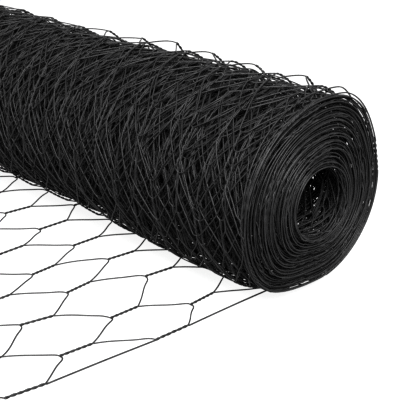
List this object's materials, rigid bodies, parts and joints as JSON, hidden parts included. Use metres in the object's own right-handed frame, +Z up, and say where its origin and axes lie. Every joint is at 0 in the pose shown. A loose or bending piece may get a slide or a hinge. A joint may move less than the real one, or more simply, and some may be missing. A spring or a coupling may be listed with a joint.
{
  "type": "roll of chicken wire",
  "caption": "Roll of black plastic-coated hexagonal wire netting with an open bore and its loose end run out flat beside it.",
  "frame": {"origin": "middle of the roll's bore, on its axis and halfway along it", "axes": "+Y along the bore, away from the end where the inner turns stand out; +Z up, with the roll lying on its side; the loose end runs out on the floor towards -X"},
  "size_m": [0.411, 0.5346, 0.164],
  "materials": {
    "coated_wire": "satin"
  },
  "bodies": {
    "root": {"netting_roll": "coated_wire", "loose_end": "coated_wire"}
  },
  "joints": []
}
